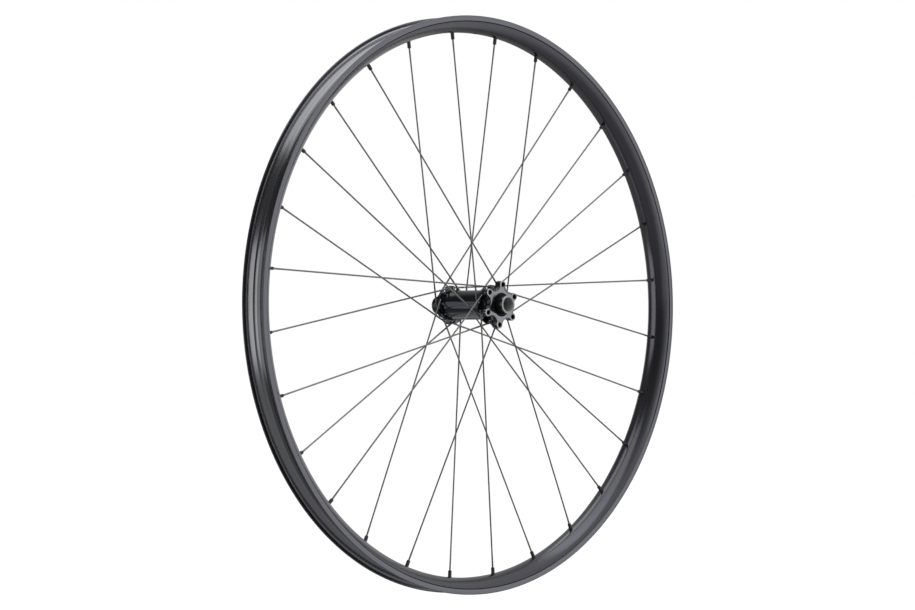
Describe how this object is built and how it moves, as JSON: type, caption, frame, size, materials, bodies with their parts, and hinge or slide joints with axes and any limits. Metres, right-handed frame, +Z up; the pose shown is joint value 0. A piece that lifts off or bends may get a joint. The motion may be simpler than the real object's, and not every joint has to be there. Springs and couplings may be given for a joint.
{
  "type": "bicycle wheel",
  "caption": "Front bicycle wheel without a tyre: deep-channelled rim laced with crossed wire spokes to a disc brake hub that spins on sealed bearings round a hollow axle.",
  "frame": {"origin": "centre of the wheel: on the axle's axis, in the middle plane of the rim and of the hub's end faces", "axes": "+Y along the axle, away from the brake disc side; +Z up, towards the valve hole; +X completes the frame"},
  "size_m": [0.6339, 0.11, 0.634],
  "materials": {
    "rim_anodised": "satin black anodised",
    "nipple_black": "black plated",
    "spoke_black": "black oxide wire",
    "hub_gloss_black": "gloss black anodised, bare machined face on the brake disc mount",
    "bearing_steel": "ground steel, black seals",
    "end_cap_black": "black anodised, machined end",
    "axle_alloy": "plain turned alloy"
  },
  "bodies": {
    "axle": {"axle_tube": "axle_alloy", "disc_side_bearing_inner_ring": "bearing_steel", "disc_side_end_cap": "end_cap_black", "plain_side_bearing_inner_ring": "bearing_steel", "plain_side_end_cap": "end_cap_black"},
    "wheel": {"disc_side_bearing_outer_ring": "bearing_steel", "disc_side_spoke_01": "spoke_black", "disc_side_spoke_02": "spoke_black", "disc_side_spoke_03": "spoke_black", "disc_side_spoke_04": "spoke_black", "disc_side_spoke_05": "spoke_black", "disc_side_spoke_06": "spoke_black", "disc_side_spoke_07": "spoke_black", "disc_side_spoke_08": "spoke_black", "disc_side_spoke_09": "spoke_black", "disc_side_spoke_10": "spoke_black", "disc_side_spoke_11": "spoke_black", "disc_side_spoke_12": "spoke_black", "disc_side_spoke_13": "spoke_black", "disc_side_spoke_14": "spoke_black", "hub_shell": "hub_gloss_black", "plain_side_bearing_outer_ring": "bearing_steel", "plain_side_spoke_01": "spoke_black", "plain_side_spoke_02": "spoke_black", "plain_side_spoke_03": "spoke_black", "plain_side_spoke_04": "spoke_black", "plain_side_spoke_05": "spoke_black", "plain_side_spoke_06": "spoke_black", "plain_side_spoke_07": "spoke_black", "plain_side_spoke_08": "spoke_black", "plain_side_spoke_09": "spoke_black", "plain_side_spoke_10": "spoke_black", "plain_side_spoke_11": "spoke_black", "plain_side_spoke_12": "spoke_black", "plain_side_spoke_13": "spoke_black", "plain_side_spoke_14": "spoke_black", "rim": "rim_anodised", "spoke_nipples": "nipple_black"}
  },
  "joints": [
    {"name": "wheel_spin", "type": "hinge", "parent": "axle", "child": "wheel", "pos_m": [0, 0, 0], "axis": [0, 1, 0], "continuous": true}
  ]
}
